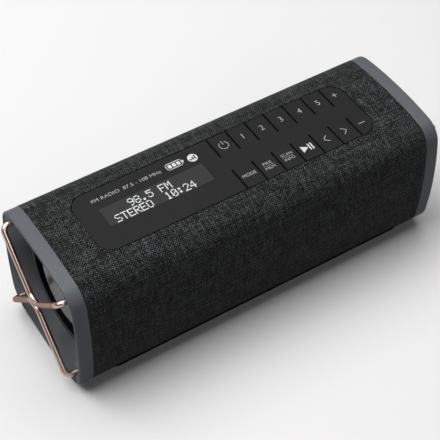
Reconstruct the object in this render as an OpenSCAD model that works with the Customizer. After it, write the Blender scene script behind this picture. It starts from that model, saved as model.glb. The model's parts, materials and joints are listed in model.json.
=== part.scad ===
// Portable digital radio: a cloth-covered tube between two dished end caps,
// with a flush key strip, end radiators behind crossed wires and a rear aerial.
// X runs along the length, -Y is the front and +Z is up.
// The origin is the middle of the flat base, on the surface that it stands on.

/* [Body] */
// Length over the end caps, rim to rim
body_l = 222; // [212:1:250]
// Depth of the section, front to rear
section_w = 79; // [76:0.5:84]
// Height of the section without the plinth
section_h = 78; // [76:0.5:84]
// Radius of the slightly bulging sides
side_r = 200; // [160:5:300]
// Radius of the four long edges
corner_r = 12; // [10:0.5:14]
// Thickness of the cloth sleeve
fabric_t = 1; // [0.8:0.1:1.4]
// Wall of the moulded tube under the cloth
wall_t = 2.4; // [2:0.1:3]

/* [End caps] */
// Visible width of an end cap's band
band_w = 8; // [6:0.5:10]
// Rounding of the outer rim
rim_round = 1; // [0.6:0.1:1.4]
// Distance from the outside to the inner edge of the rim
rim_land = 1.6; // [1.6:0.1:2.6]
// Depth of the small step inside the rim
rim_step = 0.4; // [0.3:0.1:1.4]
// Depth of the dish at the radiator's opening
dish_depth = 10.8; // [9:0.2:12]
// Flare of the dish: 1 is a straight cone, more is flatter near the rim
dish_flare = 1.5; // [1:0.25:3]
// Radius where the dish meets the bezel round the opening
bezel_r = 30.3; // [29.8:0.1:33]
// Fall of the bezel towards the opening
bezel_fall = 0.4; // [0.2:0.1:1]
// Height of the small step down to the bezel
bezel_step = 0.3; // [0.2:0.1:0.6]
// Thickness of the lip round the radiator's opening
lip_t = 1.5; // [1:0.1:2.2]
// Length of the collar that plugs into the tube
collar_l = 9; // [8:0.5:11]
// Play between the collar and the tube
collar_clear = 0.2; // [0.1:0.05:0.4]

/* [Radiators] */
// Radius of the opening in an end cap
opening_r = 28.3; // [27:0.1:29]
// Radius of the moving disc
disc_r = 21.6; // [20:0.1:22.4]
// Thickness of the moving disc
disc_t = 2.2; // [1.6:0.1:3]
// Depth of the disc's face behind the opening's edge
disc_set = 0.8; // [0.4:0.1:1.2]
// Depth of the shallow bowl in the disc's face
disc_bowl = 0.7; // [0.3:0.1:1.2]
// Thickness of the rubber surround
rubber_t = 0.8; // [0.6:0.1:1]
// Width of the surround's clamped edge
clamp_w = 2.7; // [2:0.1:3.2]
// Width of the surround's edge under the disc
land_w = 2; // [1.5:0.1:3]
// Thickness of the ring that clamps the surround
ring_t = 2.9; // [2:0.1:3.6]
// Play of the clamping ring in its seat
ring_clear = 0.1; // [0.05:0.05:0.3]
// Gap between the disc's edge and the surround's roll
roll_gap = 0.15; // [0.1:0.05:0.3]

/* [Wire guards] */
// Diameter of the guard wire
wire_d = 3.2; // [2.8:0.1:3.4]
// Offset of a wire's end from the axis, front to rear
wire_y = 29.4; // [28.6:0.2:30.4]
// Offset of a wire's end from the axis, up and down
wire_z = 29.4; // [28.6:0.2:30.4]
// Bend radius on the wire's centre line, where it turns into the cap
wire_bend_r = 3.5; // [3:0.25:5]
// Distance from the rim plane to the wire's centre line
wire_stand = 3.6; // [2.5:0.1:4.5]
// Gap between the upper and the lower wire where they meet
cross_gap = 0.3; // [0.2:0.05:0.5]
// Diameter of the weld bead between the wires
weld_d = 3.4; // [3.2:0.1:3.8]
// Depth of a wire's end behind the rim plane
socket_depth = 7; // [6:0.5:8]
// Play of a wire's end in its socket
socket_clear = 0.05; // [0.02:0.01:0.1]

/* [Key strip] */
// Distance from a rim to the near end of the strip
strip_end = 28; // [26:0.5:32]
// Width of the strip
strip_w = 40.4; // [38:0.2:43]
// Corner radius of the strip
strip_corner_r = 9; // [6:0.5:11]
// Thickness of the strip and its keys
strip_t = 2; // [1.6:0.1:2.6]
// Gap between the strip and the cloth
strip_gap = 0.5; // [0.4:0.1:0.8]
// Distance from key to key
key_pitch = 12; // [10.5:0.25:12.5]
// Length of the last keys, from the last slit to the strip's end
last_key_l = 11; // [10:0.25:12.5]
// Width of the slits between the keys
slit_w = 1.1; // [0.6:0.1:1.3]
// Width of the unslit spine
spine_w = 10.4; // [9:0.2:12]
// Gap between a key's root and the spine
root_gap = 0.08; // [0.05:0.01:0.12]
// Radius of the bead that a key turns on
bead_r = 0.7; // [0.6:0.05:0.8]
// Running play of a bead in its groove
bead_clear = 0.05; // [0.03:0.01:0.1]
// Travel of a key at its outer edge
key_travel = 0.7; // [0.5:0.05:0.8]
// Distance of a key's mark and post from the strip's middle line
key_mark_y = 12.4; // [11.5:0.1:13.5]
// Diameter of a key's post
post_d = 2.8; // [2.2:0.1:3.2]
// Length of a key's post
post_l = 0.8; // [0.6:0.1:1.2]
// Gap left between a pressed post and its switch
post_clear = 0.05; // [0.03:0.01:0.1]

/* [Display] */
// Distance from the strip's end to the window
display_margin = 11.5; // [10:0.5:16]
// Length of the display window
display_l = 61; // [52:0.5:62]
// Width of the display window
display_w = 13.2; // [11:0.2:14]
// Offset of the window from the strip's middle line, to the rear
display_y = 0.6; // [-1:0.1:1]
// Thickness of the display window
window_t = 1.3; // [1:0.1:1.5]
// Width of the ledge under the window
window_lip = 1.5; // [1:0.1:2]
// Play round the window
window_clear = 0.08; // [0.05:0.01:0.15]

/* [Strip tray] */
// Wall of the tray under the strip
tray_t = 1.5; // [1.2:0.1:2]
// Width of the tray's flange under the tube
flange_w = 3; // [2:0.25:4]
// Play between the tray and the tube
tray_clear = 0.2; // [0.1:0.05:0.4]
// Height of a switch over its board
switch_h = 3.9; // [3.4:0.1:4.5]
// Side of a switch's body
switch_w = 6; // [5:0.25:6.5]
// Diameter of a switch's plunger
plunger_d = 3.2; // [2.4:0.1:3.5]
// Height of a switch's plunger when pressed home
plunger_h = 0.45; // [0.3:0.05:0.6]
// Thickness of the circuit boards
board_t = 1.6; // [1.2:0.1:2]
// Height of the pads under the key board
standoff_h = 1.2; // [0.8:0.1:2]

/* [Drivers] */
// Distance from a rim to the near driver's axis
driver_end = 56; // [53:0.5:60]
// Height of the drivers from the tube's axis
driver_z = -2; // [-4:0.5:-1]
// Outer radius of a driver's frame
driver_r = 24; // [23:0.25:24.5]
// Radius of the aperture in a driver's frame
driver_open_r = 20; // [19.5:0.25:20.5]
// Outer radius of a driver's cone
cone_r = 17; // [16.5:0.25:17.25]
// Depth of a driver's basket
basket_h = 14.5; // [13.5:0.25:16]
// Outer radius of a driver's magnet
magnet_r = 14; // [13:0.25:15]
// Length of a driver's magnet
magnet_h = 11.5; // [10.5:0.25:13]
// Height of the seat behind the tube's front wall
boss_h = 2.6; // [2:0.1:3.2]
// Width of the seat outside a driver's frame
boss_rim = 1; // [0.6:0.1:1.5]
// Diameter of a hole in the driver grille
grille_d = 6; // [4.5:0.25:6.5]
// Distance between the grille holes
grille_pitch = 8; // [7.5:0.25:8.5]

/* [Rear panel] */
// Distance from a rim to the near end of the rear panel
rear_end = 36; // [34:0.5:40]
// Height of the rear panel
rear_h = 40; // [38:0.5:42]
// Corner radius of the rear panel
rear_corner_r = 9; // [6:0.5:11]
// Thickness of the rear panel
rear_t = 3; // [2.6:0.1:3.4]
// Play round the rear panel
rear_clear = 0.25; // [0.15:0.05:0.4]
// Width of the frame behind the rear panel
frame_w = 8; // [7:0.25:9]
// Thickness of the frame behind the rear panel
frame_t = 2.3; // [2:0.1:3]
// Distance from the rear panel to the main board
board_gap = 14; // [13.5:0.25:16]
// Place of the audio jack along the rear panel
jack_x = -22; // [-30:1:-12]
// Height of the sockets from the tube's axis
socket_z = -6; // [-7:0.25:-5]
// Radius of the audio jack's bore
jack_r = 1.8; // [1.76:0.01:1.85]
// Depth of the audio jack's bore
jack_l = 14; // [13:0.5:14.5]
// Diameter of the audio jack's nose
jack_nose_d = 8; // [7:0.25:9]
// Wall of the audio jack's body round its nose
jack_wall = 1; // [0.6:0.1:1.2]
// Place of the charging socket along the rear panel
charge_x = 6; // [0:1:14]
// Width of the charging socket's mouth
charge_w = 8.4; // [8:0.1:9]
// Height of the charging socket's mouth
charge_h = 2.6; // [2.4:0.1:3]
// Wall of the charging socket's shell
charge_wall = 0.5; // [0.4:0.05:0.7]
// Distance of the rear screws from the rear panel's edges
rear_screw_in = 5.25; // [5:0.25:5.75]
// Diameter of a small screw's shank
screw_d = 2.2; // [2:0.1:2.6]
// Diameter of a small screw's head
screw_head_d = 4.4; // [4:0.1:4.8]
// Height of a small screw's head
screw_head_h = 1.4; // [1.1:0.1:1.6]

/* [Battery] */
// Diameter of a cell
cell_d = 18.4; // [18:0.1:18.8]
// Length of a cell
cell_l = 65.2; // [64:0.2:67]
// Distance between the cells
cell_pitch = 19.6; // [19.4:0.1:20.5]
// Place of the battery, front to rear
battery_y = -5; // [-6:0.5:-4]
// Wall of the battery holder
holder_t = 1.5; // [1.2:0.1:2]

/* [Aerial] */
// Distance from the rear panel's end to the aerial's turret
aerial_in = 13; // [12:0.5:17]
// Height of the aerial from the tube's axis
aerial_z = 7; // [6:0.25:8]
// Radius of the turret's disc
turret_r = 7; // [6.5:0.25:7.5]
// Depth of the turret's seat in the rear panel
turret_seat = 1.5; // [1.2:0.1:1.8]
// Height of the turret's disc over the rear panel
turret_rise = 0.6; // [0.4:0.1:0.8]
// Radius of the turret's shaft
shaft_r = 3; // [2.5:0.1:3.5]
// Running play of the aerial's shaft and pin
pivot_clear = 0.05; // [0.03:0.01:0.08]
// Height of the aerial's centre line over the rear panel
aerial_rise = 3.9; // [3.8:0.1:4.6]
// Radius of the aerial's outer tube
aerial_r = 2.5; // [2.3:0.05:2.6]
// Step in radius from one aerial stage to the next
aerial_step = 0.5; // [0.45:0.01:0.55]
// Running play between aerial stages
stage_clear = 0.08; // [0.05:0.01:0.1]
// Length of the aerial's outer tube from its pin
aerial_l = 124; // [100:1:124]
// Thickness of an ear of the turret
ear_t = 1.7; // [1.4:0.1:2]
// Gap between the aerial's eye and an ear
ear_gap = 0.4; // [0.3:0.05:0.5]
// Radius of the aerial's pin
pin_r = 1; // [0.8:0.05:1.2]
// Length of the solid heel of the aerial's outer tube
heel_l = 9; // [8:0.5:12]
// Length of the button on the aerial's tip
tip_l = 5; // [4:0.25:6]

/* [Base] */
// Distance from a rim to the near end of the base pad
pad_end = 22; // [20:0.5:30]
// Height that the base pad wraps up the section
pad_wrap = 10; // [8:0.5:12]
// Height of the base pad over the cloth
pad_proud = 0.5; // [0.1:0.05:0.7]
// Gap between the base pad and the cloth
pad_gap = 0.4; // [0.2:0.05:0.6]
// Width of the flat plinth
plinth_w = 48; // [40:1:52]
// Height of the plinth under the section
plinth_h = 1.2; // [0.8:0.1:2]

/* [Hidden] */
$fn = 48;
KEY_NODES = [
    ["key_mode", "key_memory", "key_scan", "key_play",
     "key_previous", "key_next", "key_volume_down"],
    ["key_power", "key_preset_1", "key_preset_2", "key_preset_3",
     "key_preset_4", "key_preset_5", "key_volume_up"]
];
// Steps of the outline on a side arc, a long edge and a plate's corner
side_steps = 4;
edge_steps = 9;
plate_steps = 8;
// Rings of the dish between its rim and the bezel
dish_steps = 8;
// Overshoot of a cut past the solid that it opens
cut = 1;
// Flat left between the two arcs at a slot's end
flat_left = 0.01;
half_w = section_w / 2;
half_h = section_h / 2;
axis_z = half_h + plinth_h;
// Centre of an edge arc that runs on from both side arcs
side_u = side_r - half_w;
side_v = side_r - half_h;
uv_ratio = side_u / side_v;
uv_shift = (side_u ^ 2 - side_v ^ 2) / (2 * side_v);
quad_a = 1 + uv_ratio ^ 2;
quad_b = 2 * (side_u + uv_ratio * uv_shift);
quad_c = side_u ^ 2 + uv_shift ^ 2 - (side_r - corner_r) ^ 2;
corner_y = (sqrt(quad_b ^ 2 - 4 * quad_a * quad_c) - quad_b) / (2 * quad_a);
corner_z = uv_ratio * corner_y + uv_shift;
side_turn = atan2(corner_z, corner_y + side_u);
top_turn = atan2(corner_y, corner_z + side_v);
rim_x = -body_l / 2;
tube_end = body_l / 2 - band_w;
tube_inset = fabric_t + wall_t;
// End cap and radiator, as depths behind the rim plane
collar_inset = tube_inset + collar_clear;
cap_back = band_w + collar_l;
bezel_k = dish_depth - bezel_fall;
dish_drop = bezel_k - bezel_step - rim_step;
lip_back = dish_depth + lip_t;
clamp_r = opening_r + clamp_w;
seat_r = clamp_r + 2 * ring_clear;
disc_face = dish_depth + disc_set;
disc_back = disc_face + disc_t;
roll_in_r = disc_r + roll_gap;
roll_mid_r = (roll_in_r + opening_r) / 2;
roll_r = (opening_r - roll_in_r) / 2;
roll_k = disc_back;
// Wire guard, as distances from the axis
wire_reach = norm([wire_y, wire_z]);
wire_turn = atan2(wire_z, wire_y);
cross_bend_r = (wire_d + cross_gap) / 2 / (1 / cos(wire_turn) - 1);
cross_l = cross_bend_r * tan(wire_turn);
WIRE_TURNS = [wire_turn, 180 - wire_turn, 180 + wire_turn, -wire_turn];
// Key strip, as heights from the strip's face
strip_l = body_l - 2 * strip_end;
strip_z = side_z(strip_w / 2, 0);
key_count = len(KEY_NODES[0]);
key_x0 = strip_l / 2 - last_key_l - (key_count - 1) * key_pitch;
root_y = spine_w / 2 + root_gap;
bead_y = root_y + bead_r + bead_clear;
key_turn = asin(key_travel / (strip_w / 2 - bead_y));
post_travel = (key_mark_y + post_d / 2 - bead_y) * sin(key_turn);
ledge_gap = 3 * bead_clear;
ledge_w = 2 * (bead_y + bead_r + 2 * bead_clear);
ledge_top = -strip_t - ledge_gap;
ledge_t = 2 * bead_r;
switch_top = -strip_t - post_l - post_travel - post_clear;
key_board_top = switch_top - switch_h;
skirt_t = 1.2;
key_board_w = 2 * key_mark_y + switch_w + 2 * skirt_t;
tray_floor = key_board_top - board_t - standoff_h;
tray_w = strip_w + 2 * strip_gap + 2 * tray_t;
tray_l = strip_l + 2 * strip_gap + 2 * tray_t;
tray_r = strip_corner_r + strip_gap + tray_t;
tray_top = side_z(tray_w / 2, fabric_t) - strip_z - tray_clear;
flange_top = side_z(tray_w / 2 + flange_w, tube_inset) - strip_z - tray_clear;
display_x = -strip_l / 2 + display_margin + display_l / 2;
// Drivers, as depths behind the frame's face
driver_x = body_l / 2 - driver_end;
seat_y = half_w - tube_inset - boss_h;
flange_t = 1.6;
pole_r = 5.2;
gap_r = 7.6;
former_r = 6;
former_t = 0.6;
neck_w = 8.4;
edge_w = 1.2;
paper_t = 0.8;
cap_r = 7;
cap_rise = 2.6;
cap_t = 0.5;
cap_gap = 0.1;
// Rear panel and boards
rear_l = body_l - 2 * rear_end;
rear_y = side_y(rear_h / 2, 0);
rear_in = rear_y - rear_t;
board_y = rear_in - board_gap;
pillar_x = rear_l / 2 - 1.5 * frame_w;
pillar_z = (rear_h - frame_w) / 2;
pillar_r = 3;
screw_l = 6;
PILLARS = [for (x = [-1, 1], z = [-1, 1]) [x * pillar_x, z * pillar_z]];
rear_screw_x = rear_l / 2 - rear_screw_in;
rear_screw_z = rear_h / 2 - rear_screw_in;
REAR_SCREWS = [for (x = [-1, 1], z = [-1, 1]) [x * rear_screw_x, z * rear_screw_z]];
// Battery
holder_w = cell_pitch + cell_d + 2 * holder_t;
holder_l = cell_l + 2 * holder_t;
holder_h = cell_d / 2 + holder_t;
cell_z = holder_h + tray_clear - side_z(holder_w / 2 - battery_y, tube_inset);
// Aerial
aerial_y = rear_y + aerial_rise;
shaft_out = 1.2;
aerial_x = rear_l / 2 - aerial_in;
stage_l = aerial_l - heel_l;
stage_show = 1.2;
// Base
pad_l = body_l - 2 * pad_end;

// Height of the top side over the axis at y, and reach of the rear side at z
function side_z(y, inset) = sqrt((side_r - inset) ^ 2 - y ^ 2) - side_v;
function side_y(z, inset) = sqrt((side_r - inset) ^ 2 - z ^ 2) - side_u;

// Length of a key with the slits' halves at its sides, and its middle
function key_l(i) = i == key_count - 1 ? last_key_l : key_pitch;
function key_mid(i) = key_x0 + i * key_pitch + key_l(i) / 2;

// A quarter of the section, from the rear's middle to the top's middle
function quarter(inset) = [
    for (k = [0 : side_steps - 1])
        let (a = side_turn * k / side_steps, r = side_r - inset)
            [r * cos(a) - side_u, r * sin(a)],
    for (k = [0 : edge_steps])
        let (a = side_turn + (90 - top_turn - side_turn) * k / edge_steps, r = corner_r - inset)
            [corner_y + r * cos(a), corner_z + r * sin(a)],
    for (k = [side_steps - 1 : -1 : 0])
        let (a = top_turn * k / side_steps, r = side_r - inset)
            [r * sin(a), r * cos(a) - side_v]
];

// The whole section, moved in by inset
function section(inset) =
    let (q = quarter(inset), n = len(q) - 1) concat(
        [for (k = [0 : n - 1]) q[k]],
        [for (k = [n : -1 : 1]) [-q[k][0], q[k][1]]],
        [for (k = [0 : n - 1]) -q[k]],
        [for (k = [n : -1 : 1]) [q[k][0], -q[k][1]]]);

// A plate's outline with round corners
function plate(l, w, r) = [
    for (c = [0 : 3], k = [0 : plate_steps])
        let (a = 90 * (c + k / plate_steps), sx = (c == 0 || c == 3) ? 1 : -1, sy = c < 2 ? 1 : -1)
            [sx * (l / 2 - r) + r * cos(a), sy * (w / 2 - r) + r * sin(a)]
];

// A ring of the end cap: t goes from the section at 0 to a circle at 1, at depth k
function cap_ring(inset, k, t = 0, r = 0) = [
    for (p = section(inset))
        let (c = r * p / norm(p), q = p * (1 - t) + c * t)
            [k, q[0], q[1]]
];

module lift() {
    translate([0, 0, axis_z])
        children();
}

module along_x(x0, x1) {
    translate([x0, 0, 0])
        rotate([90, 0, 90])
            linear_extrude(x1 - x0)
                children();
}

module along_y(y0, y1) {
    translate([0, y1, 0])
        rotate([90, 0, 0])
            linear_extrude(y1 - y0)
                children();
}

module bar(x0, x1, inset) {
    along_x(x0, x1)
        polygon(section(inset));
}

// A solid of revolution about X from the left rim, drawn as radius and depth
module turned_end() {
    translate([rim_x, 0, 0])
        rotate([0, 90, 0])
            rotate_extrude()
                children();
}

// A solid of revolution about a driver's axis, drawn as radius and depth
module turned_driver(side) {
    translate([side * driver_x, -seat_y, driver_z])
        rotate([-90, 0, 0])
            rotate_extrude()
                children();
}

module opposite() {
    mirror([1, 0, 0])
        children();
}

// A closed skin over rings that lead round to the first one again
module closed_loft(rings) {
    n = len(rings[0]);
    m = len(rings);
    polyhedron(
        points = [for (ring = rings) each ring],
        faces = [
            for (j = [0 : m - 1], k = [0 : n - 1])
                let (j2 = (j + 1) % m, k2 = (k + 1) % n)
                    each [[j * n + k, j2 * n + k2, j * n + k2], [j * n + k, j2 * n + k, j2 * n + k2]]
        ]);
}

// Tube and sleeve

module chassis_tube() {
    color("#2b2c2e")
        lift()
            difference() {
                union() {
                    difference() {
                        bar(-tube_end, tube_end, fabric_t);
                        bar(-tube_end - cut, tube_end + cut, tube_inset);
                    }
                    intersection() {
                        bar(-tube_end, tube_end, fabric_t + wall_t / 2);
                        union() {
                            driver_boss(-1);
                            driver_boss(1);
                            rear_frame();
                        }
                    }
                    for (p = PILLARS)
                        translate([p[0], rear_in - frame_t, p[1]])
                            rotate([90, 0, 0])
                                cylinder(r = pillar_r, h = board_gap - frame_t);
                }
                translate([0, 0, half_h - corner_r])
                    linear_extrude(2 * corner_r)
                        polygon(plate(tray_l + 2 * tray_clear, tray_w + 2 * tray_clear, tray_r + tray_clear));
                along_y(rear_in, half_w + cut)
                    polygon(plate(rear_l + 2 * rear_clear, rear_h + 2 * rear_clear, rear_corner_r + rear_clear));
                for (side = [-1, 1])
                    grille_holes(side);
                for (p = PILLARS)
                    translate([p[0], board_y, p[1]])
                        rotate([-90, 0, 0])
                            cylinder(d = screw_d, h = screw_l);
                for (p = REAR_SCREWS)
                    translate([p[0], rear_in, p[1]])
                        rotate([90, 0, 0])
                            cylinder(d = screw_d, h = screw_l);
            }
}

module driver_boss(side) {
    translate([side * driver_x, -seat_y, driver_z])
        rotate([90, 0, 0])
            difference() {
                cylinder(r = driver_r + boss_rim, h = tube_inset + boss_h);
                translate([0, 0, -cut])
                    cylinder(r = driver_open_r, h = tube_inset + boss_h + 2 * cut);
            }
}

module rear_frame() {
    along_y(rear_in - frame_t, rear_in)
        difference() {
            square([rear_l + frame_w, rear_h + frame_w], center = true);
            square([rear_l - 2 * frame_w, rear_h - 2 * frame_w], center = true);
        }
}

// Two rings of holes round a middle one
module grille_holes(side) {
    for (u = [-2 : 2], v = [-2 : 2])
        if (abs(u + v) < 3)
            translate([
                side * driver_x + grille_pitch * (u + v / 2),
                -half_w - cut,
                driver_z + grille_pitch * v * sin(60)
            ])
                rotate([-90, 0, 0])
                    cylinder(d = grille_d, h = tube_inset + boss_h + cut);
}

module fabric_sleeve() {
    color("#323436")
        lift()
            difference() {
                bar(-tube_end, tube_end, 0);
                bar(-tube_end - cut, tube_end + cut, fabric_t);
                translate([0, 0, half_h - corner_r])
                    linear_extrude(2 * corner_r)
                        polygon(plate(strip_l + 2 * strip_gap, strip_w + 2 * strip_gap, strip_corner_r + strip_gap));
                along_y(rear_in, half_w + cut)
                    polygon(plate(rear_l + 2 * rear_clear, rear_h + 2 * rear_clear, rear_corner_r + rear_clear));
                pad_space(pad_gap);
            }
}

// Room that the base pad takes, with a gap all round
module pad_space(gap) {
    translate([-pad_l / 2 - gap, -section_w, -2 * half_h])
        cube([pad_l + 2 * gap, 2 * section_w, half_h + pad_wrap + gap]);
}

// End caps and guards

module end_cap_left() {
    color("#62656b")
        lift()
            difference() {
                translate([rim_x, 0, 0])
                    closed_loft(concat(
                        [cap_ring(0, band_w), cap_ring(0, rim_round)],
                        [for (a = [30 : 30 : 90]) cap_ring(rim_round * (1 - cos(a)), rim_round * (1 - sin(a)))],
                        [cap_ring(rim_land, 0)],
                        [for (t = [0 : 1 / dish_steps : 1])
                            cap_ring(rim_land, rim_step + dish_drop * t ^ dish_flare, t, bezel_r)],
                        [cap_ring(rim_land, bezel_k, 1, bezel_r), cap_ring(rim_land, dish_depth, 1, opening_r)],
                        [cap_ring(rim_land, cap_back, 1, opening_r)],
                        [cap_ring(collar_inset, cap_back), cap_ring(collar_inset, band_w)]));
                translate([rim_x + lip_back, 0, 0])
                    rotate([0, 90, 0])
                        cylinder(r = seat_r, h = cap_back);
                for (a = WIRE_TURNS)
                    rotate([a, 0, 0])
                        translate([rim_x, wire_reach, 0])
                            rotate([0, 90, 0])
                                cylinder(d = wire_d + 2 * socket_clear, h = socket_depth);
            }
}

module end_cap_right() {
    opposite()
        end_cap_left();
}

// Two bent wires that meet back to back in the middle
module wire_guard_left() {
    color("#b98672")
        lift()
            translate([rim_x - wire_stand, 0, 0])
                union() {
                    for (a = WIRE_TURNS)
                        rotate([a, 0, 0])
                            wire_arm();
                    for (side = [0, 1])
                        mirror([0, 0, side])
                            wire_turn_back();
                    sphere(d = weld_d);
                }
}

module wire_guard_right() {
    opposite()
        wire_guard_left();
}

// One arm: its end in the cap, the bend, and the run to the middle
module wire_arm() {
    translate([wire_bend_r, wire_reach, 0])
        rotate([0, 90, 0])
            cylinder(d = wire_d, h = wire_stand + socket_depth - wire_bend_r);
    translate([wire_bend_r, wire_reach - wire_bend_r, 0])
        rotate([0, 0, 90])
            rotate_extrude(angle = 90)
                translate([wire_bend_r, 0])
                    circle(d = wire_d);
    translate([0, wire_reach - wire_bend_r, 0])
        rotate([90, 0, 0])
            cylinder(d = wire_d, h = wire_reach - wire_bend_r - cross_l);
}

// The bend in the middle that leads a wire back to its other arm
module wire_turn_back() {
    translate([0, 0, cross_bend_r / cos(wire_turn)])
        rotate([90, 0, 90])
            rotate([0, 0, -90 - wire_turn])
                rotate_extrude(angle = 2 * wire_turn)
                    translate([cross_bend_r, 0])
                        circle(d = wire_d);
}

// Radiators

module radiator_ring_left() {
    color("#1d1e20")
        lift()
            turned_end()
                translate([opening_r + 3 * ring_clear, lip_back + rubber_t])
                    square([clamp_w - 2 * ring_clear, ring_t]);
}

module radiator_ring_right() {
    opposite()
        radiator_ring_left();
}

// Rubber with its outer edge under the lip, a roll, and its inner edge behind the disc
module radiator_surround_left() {
    color("#101011")
        lift()
            turned_end() {
                translate([opening_r - rubber_t, lip_back])
                    square([clamp_w + rubber_t, rubber_t]);
                translate([opening_r - rubber_t, lip_back])
                    square([rubber_t, max(rubber_t, roll_k - lip_back)]);
                translate([roll_mid_r, roll_k])
                    intersection() {
                        difference() {
                            circle(r = roll_r);
                            circle(r = roll_r - rubber_t);
                        }
                        translate([-roll_r, 0])
                            square([2 * roll_r, roll_r]);
                    }
                translate([disc_r - land_w, roll_k])
                    square([land_w + roll_gap + rubber_t, rubber_t]);
            }
}

module radiator_surround_right() {
    opposite()
        radiator_surround_left();
}

module radiator_disc_left() {
    color("#77797c")
        lift()
            turned_end()
                polygon([
                    [0, disc_face + disc_bowl], [disc_r * 0.6, disc_face + disc_bowl * 0.6],
                    [disc_r - rubber_t, disc_face], [disc_r, disc_face + rubber_t / 2],
                    [disc_r, disc_back], [0, disc_back]
                ]);
}

module radiator_disc_right() {
    opposite()
        radiator_disc_left();
}

// Key strip

module strip_outline() {
    polygon(plate(strip_l, strip_w, strip_corner_r));
}

// Everything on the strip is drawn from the strip's face
module on_strip() {
    lift()
        translate([0, 0, strip_z])
            children();
}

module slab(z0, z1) {
    translate([0, 0, z0])
        linear_extrude(z1 - z0)
            children();
}

module control_tray() {
    color("#1b1c1e")
        on_strip()
            union() {
                difference() {
                    slab(tray_floor - tray_t, tray_top)
                        polygon(plate(tray_l, tray_w, tray_r));
                    slab(tray_floor, tray_top + cut)
                        polygon(plate(tray_l - 2 * tray_t, tray_w - 2 * tray_t, tray_r - tray_t));
                }
                difference() {
                    slab(flange_top - tray_t, flange_top)
                        polygon(plate(tray_l + 2 * flange_w, tray_w + 2 * flange_w, tray_r + flange_w));
                    slab(flange_top - 2 * tray_t, flange_top + cut)
                        polygon(plate(tray_l - tray_t, tray_w - tray_t, tray_r - tray_t / 2));
                }
                for (x = [key_x0 + key_pitch, strip_l / 2 - key_pitch], y = [-1, 1])
                    translate([x, y * key_mark_y, tray_floor])
                        cylinder(d = 2 * post_d, h = standoff_h);
            }
}

module left_half() {
    translate([-strip_l, -strip_w])
        square([strip_l + key_x0 - slit_w / 2, 2 * strip_w]);
}

module spine_strip(width) {
    translate([key_x0 - slit_w, -width / 2])
        square([strip_l / 2 - key_x0 + slit_w, width]);
}

module control_panel() {
    color("#2f3032")
        on_strip()
            difference() {
                union() {
                    slab(-strip_t, 0)
                        intersection() {
                            strip_outline();
                            left_half();
                        }
                    slab(ledge_top - ledge_t, 0)
                        spine_strip(spine_w);
                    slab(ledge_top - ledge_t, ledge_top)
                        spine_strip(ledge_w);
                    slab(key_board_top, ledge_top)
                        spine_strip(spine_w / 4);
                    slab(tray_floor, -strip_t)
                        intersection() {
                            difference() {
                                polygon(plate(strip_l - slit_w, strip_w - slit_w, strip_corner_r - slit_w / 2));
                                polygon(plate(
                                    strip_l - slit_w - 2 * skirt_t, strip_w - slit_w - 2 * skirt_t,
                                    strip_corner_r - slit_w / 2 - skirt_t));
                            }
                            left_half();
                        }
                }
                translate([display_x, display_y, 0]) {
                    slab(-window_t, cut)
                        square([display_l + 2 * window_clear, display_w + 2 * window_clear], center = true);
                    slab(-strip_t - cut, 0)
                        square([display_l - 2 * window_lip, display_w - 2 * window_lip], center = true);
                }
                for (side = [-1, 1])
                    translate([key_x0 - slit_w, side * bead_y, -strip_t])
                        rotate([0, 90, 0])
                            cylinder(r = bead_r + bead_clear, h = strip_l);
            }
}

module display_window() {
    color("#3e3f41")
        on_strip()
            translate([display_x, display_y, 0])
                slab(-window_t, 0)
                    square([display_l, display_w], center = true);
}

// Glass panel in a metal frame, on a board that stands on the tray's floor
module lcd_module() {
    glass_top = -strip_t - window_clear;
    frame_low = glass_top - strip_t;
    color("#55616a")
        on_strip()
            translate([display_x, display_y, 0])
                union() {
                    difference() {
                        slab(frame_low, glass_top)
                            square([display_l + 2 * skirt_t, display_w + 4 * skirt_t], center = true);
                        slab(glass_top - skirt_t / 2, glass_top + cut)
                            square([display_l - 2 * window_lip, display_w - 2 * window_lip], center = true);
                    }
                    slab(frame_low - board_t, frame_low)
                        square([display_l + 4 * skirt_t, display_w + 8 * skirt_t], center = true);
                    for (x = [-1, 1], y = [-1, 1])
                        translate([x * display_l / 2, y * display_w / 2, tray_floor])
                            cylinder(d = post_d, h = frame_low - board_t - tray_floor);
                }
}

module key_board() {
    color("#1f5a3a")
        on_strip()
            translate([key_x0 + slit_w, -key_board_w / 2, key_board_top - board_t])
                cube([strip_l / 2 - key_x0 - 3 * slit_w, key_board_w, board_t]);
}

module tact_switches() {
    color("#26272a")
        on_strip()
            for (row = [-1, 1], i = [0 : key_count - 1])
                translate([key_mid(i), row * key_mark_y, key_board_top])
                    union() {
                        slab(0, switch_h - plunger_h)
                            square(switch_w, center = true);
                        cylinder(d = plunger_d, h = switch_h);
                    }
}

// A key: a tongue of the strip with a bead at its root and a post over its switch
module key(row, i) {
    x0 = key_x0 + i * key_pitch + slit_w / 2;
    tongue_l = key_l(i) - slit_w;
    color("#2d2e30")
        on_strip()
            mirror([0, 1 - row, 0])
                union() {
                    slab(-strip_t, 0)
                        intersection() {
                            strip_outline();
                            translate([x0, root_y])
                                square([i == key_count - 1 ? key_pitch : tongue_l, strip_w]);
                        }
                    translate([x0, bead_y, -strip_t])
                        rotate([0, 90, 0])
                            cylinder(r = bead_r, h = tongue_l);
                    translate([key_mid(i), key_mark_y, -strip_t - post_l])
                        cylinder(d = post_d, h = post_l + strip_t / 2);
                }
}

// Drivers

module driver_frame(side) {
    color("#3a3c40")
        lift()
            turned_driver(side)
                polygon([
                    [driver_open_r, 0], [driver_r, 0], [driver_r, flange_t],
                    [driver_open_r + flange_t, flange_t],
                    [magnet_r - flange_t / 2, basket_h - flange_t], [magnet_r - flange_t / 2, basket_h],
                    [gap_r, basket_h], [gap_r, basket_h - flange_t],
                    [magnet_r - 1.5 * flange_t, basket_h - flange_t], [driver_open_r, flange_t]
                ]);
}

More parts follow.
